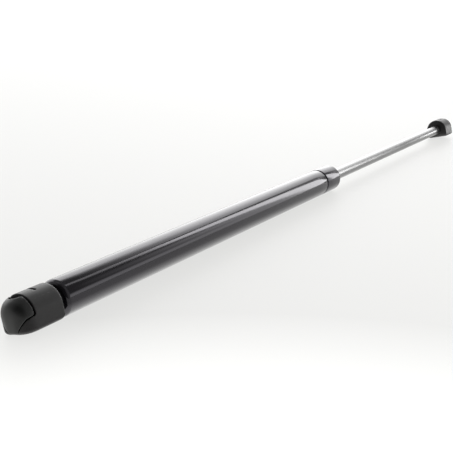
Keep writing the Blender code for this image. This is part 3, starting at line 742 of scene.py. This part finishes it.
# ---- stage --------------------------------------------------------------------------------
floor_mesh = bpy.data.meshes.new("floor")
floor_mesh.from_pydata([(-40, -40, 0), (40, -40, 0), (40, 40, 0), (-40, 40, 0)], [], [(0, 1, 2, 3)])
floor = bpy.data.objects.new("floor", floor_mesh)
scene.collection.objects.link(floor)
paper = bpy.data.materials.new("white_table")
paper.use_nodes = True
tree = paper.node_tree
bsdf = tree.nodes["Principled BSDF"]
bsdf.inputs["Base Color"].default_value = (0.08, 0.08, 0.079, 1.0)
bsdf.inputs["Roughness"].default_value = 0.55
bsdf.inputs["Specular IOR Level"].default_value = 0.1
bsdf.inputs["Emission Color"].default_value = (1.0, 1.0, 0.985, 1.0)
# lit from below, and brighter the steeper it is looked at
facing = tree.nodes.new("ShaderNodeLayerWeight")
facing.inputs["Blend"].default_value = 0.5
glow = tree.nodes.new("ShaderNodeMapRange")
for name, x in (("From Min", 0.25), ("From Max", 0.60), ("To Min", 1.7), ("To Max", 0.72)):
    glow.inputs[name].default_value = x
tree.links.new(facing.outputs["Facing"], glow.inputs["Value"])
tree.links.new(glow.outputs["Result"], bsdf.inputs["Emission Strength"])
floor_mesh.materials.append(paper)

# A white studio: bright behind the strut and dark towards the camera.
world = bpy.data.worlds.new("studio")
scene.world = world
world.use_nodes = True
tree = world.node_tree
nodes, links = tree.nodes, tree.links
background = nodes["Background"]
coords = nodes.new("ShaderNodeTexCoord")
split = nodes.new("ShaderNodeSeparateXYZ")
links.new(coords.outputs["Generated"], split.inputs[0])
azimuth = nodes.new("ShaderNodeMath")
azimuth.operation = "ARCTAN2"
links.new(split.outputs["Y"], azimuth.inputs[0])
links.new(split.outputs["X"], azimuth.inputs[1])


def world_range(value, low, high, to_low, to_high, smooth=True):
    made = nodes.new("ShaderNodeMapRange")
    made.interpolation_type = "SMOOTHSTEP" if smooth else "LINEAR"
    for name, x in (("From Min", low), ("From Max", high), ("To Min", to_low), ("To Max", to_high)):
        made.inputs[name].default_value = x
    links.new(value, made.inputs["Value"])
    return made.outputs["Result"]


def world_math(operation, a, b):
    made = nodes.new("ShaderNodeMath")
    made.operation = operation
    for socket, value in zip(made.inputs, (a, b)):
        if isinstance(value, (int, float)):
            socket.default_value = value
        else:
            links.new(value, socket)
    return made.outputs[0]


def window(value, start, full, fade, end):
    """0 before the start, 1 from full to fade and 0 after the end."""
    return world_math("MULTIPLY", world_range(value, start, full, 0.0, 1.0), world_range(value, fade, end, 1.0, 0.0))


def times(a, b):
    return world_math("MULTIPLY", a, b)


def plus(a, b):
    return world_math("ADD", a, b)


height = split.outputs["Z"]
turn = times(azimuth.outputs[0], math.degrees(1.0))
# white backdrop behind the strut, from the far end round to the left
backdrop = plus(plus(world_range(turn, -6.0, 18.0, 0.0, 1.1), world_range(turn, 24.0, 60.0, 0.0, -1.2)), 2.5)
backdrop = times(backdrop, world_range(height, 0.02, 0.30, 0.82, 1.0))
backdrop = times(times(backdrop, window(turn, -11.0, -6.0, 95.0, 120.0)), world_range(height, 0.60, 0.755, 1.0, 0.0))
far_end = times(window(turn, -14.0, -8.0, 9.0, 20.0), world_range(height, 0.40, 0.54, 0.22, 0.0))
backdrop = times(backdrop, world_math("SUBTRACT", 1.0, far_end))
# the low bright edge of the table to the right, and a glow above it
table_edge = times(window(turn, -80.0, -65.0, -20.0, -6.0), window(height, 0.0, 0.05, 0.17, 0.33))
glow = times(window(turn, -46.0, -32.0, -14.0, -4.0), world_range(height, 0.34, 0.60, 1.2, 0.0))
glow = times(glow, plus(times(window(turn, -37.0, -32.0, -27.0, -20.0), 0.5), 1.0))
right_edge = world_math("MAXIMUM", glow, times(table_edge, 1.6))
# a darker gap between the backdrop and that glow
gap = times(window(turn, -26.0, -22.0, -12.0, -5.0), world_range(height, 0.26, 0.40, 0.85, 0.0))
right_edge = times(right_edge, world_math("SUBTRACT", 1.0, gap))
# the room: grey to the right and left, dark behind the camera
right = times(window(turn, -140.0, -100.0, -70.0, -45.0), times(world_range(height, 0.80, 0.95, 1.0, 0.0), 0.35))
left = times(window(turn, 85.0, 110.0, 140.0, 165.0), 0.35)
room = plus(window(turn, -150.0, -95.0, 120.0, 165.0), 0.4)
room = times(room, 0.15)
overhead = times(world_range(height, 0.76, 0.90, 0.0, 1.0), 0.20)
studio = plus(plus(backdrop, right_edge), plus(plus(right, left), plus(room, overhead)))
path = nodes.new("ShaderNodeLightPath")
seen = nodes.new("ShaderNodeMix")
seen.data_type = "FLOAT"
links.new(path.outputs["Is Camera Ray"], seen.inputs[0])
links.new(studio, seen.inputs[2])
seen.inputs[3].default_value = 1.0
links.new(seen.outputs[0], background.inputs["Strength"])
background.inputs["Color"].default_value = (1.0, 1.0, 1.0, 1.0)

scene.view_settings.view_transform = "Standard"
scene.view_settings.look = "None"


def white_card(name, ends, foot, top, strength, fade_from, fade_to, strength_above):
    """A white card on the table's right, standing upright between two points in plan, brightest at its foot."""
    (u0, y0), (u1, y1) = ends
    mesh = bpy.data.meshes.new(name)
    mesh.from_pydata(
        [Vector((u - U_MID, y, z)) * MM for u, y, z in ((u0, y0, foot), (u1, y1, foot), (u1, y1, top), (u0, y0, top))],
        [], [(0, 1, 2, 3)],
    )
    obj = bpy.data.objects.new(name, mesh)
    scene.collection.objects.link(obj)
    obj.visible_camera = False
    obj.visible_diffuse = False
    lit = bpy.data.materials.new(name)
    lit.use_nodes = True
    tree = lit.node_tree
    bsdf = tree.nodes["Principled BSDF"]
    bsdf.inputs["Base Color"].default_value = (0.8, 0.8, 0.8, 1.0)
    bsdf.inputs["Roughness"].default_value = 0.9
    bsdf.inputs["Emission Color"].default_value = (1.0, 1.0, 1.0, 1.0)
    place = tree.nodes.new("ShaderNodeTexCoord")
    upright = tree.nodes.new("ShaderNodeSeparateXYZ")
    fade = tree.nodes.new("ShaderNodeMapRange")
    for key, x in (("From Min", fade_from * MM), ("From Max", fade_to * MM), ("To Min", strength), ("To Max", strength_above)):
        fade.inputs[key].default_value = x
    tree.links.new(place.outputs["Object"], upright.inputs[0])
    tree.links.new(upright.outputs["Z"], fade.inputs["Value"])
    tree.links.new(fade.outputs["Result"], bsdf.inputs["Emission Strength"])
    mesh.materials.append(lit)


white_card("tall_card", ((573, -125), (752, -320)), 30, 950, 6.0, 420, 600, 1.4)
white_card("low_card", ((560, -43), (710, -83)), 1, 36, 6.5, 26, 50, 0.3)

# ---- camera -------------------------------------------------------------------------------
# Its place is fitted to the photograph's frame, given from the tube's closed end.
VIEW_AZ, VIEW_EL, FOCAL_PX, FRAME_PX = 0.58174, 0.30080, 774.43, 453
eye = Vector((-222.736 - U_MID, -237.822, 132.110)) * MM + Vector((0, axis_point[1], axis_point[2]))
ahead = Vector((math.cos(VIEW_EL) * math.cos(VIEW_AZ), math.cos(VIEW_EL) * math.sin(VIEW_AZ), -math.sin(VIEW_EL)))
lens = bpy.data.cameras.new("camera")
lens.sensor_width = 36.0
lens.lens = FOCAL_PX * lens.sensor_width / FRAME_PX
lens.clip_start, lens.clip_end = 0.01, 200.0
camera = bpy.data.objects.new("camera", lens)
scene.collection.objects.link(camera)
camera.location = eye
camera.rotation_mode = "QUATERNION"
camera.rotation_quaternion = ahead.to_track_quat("-Z", "Y")
scene.camera = camera

bpy.context.view_layer.update()
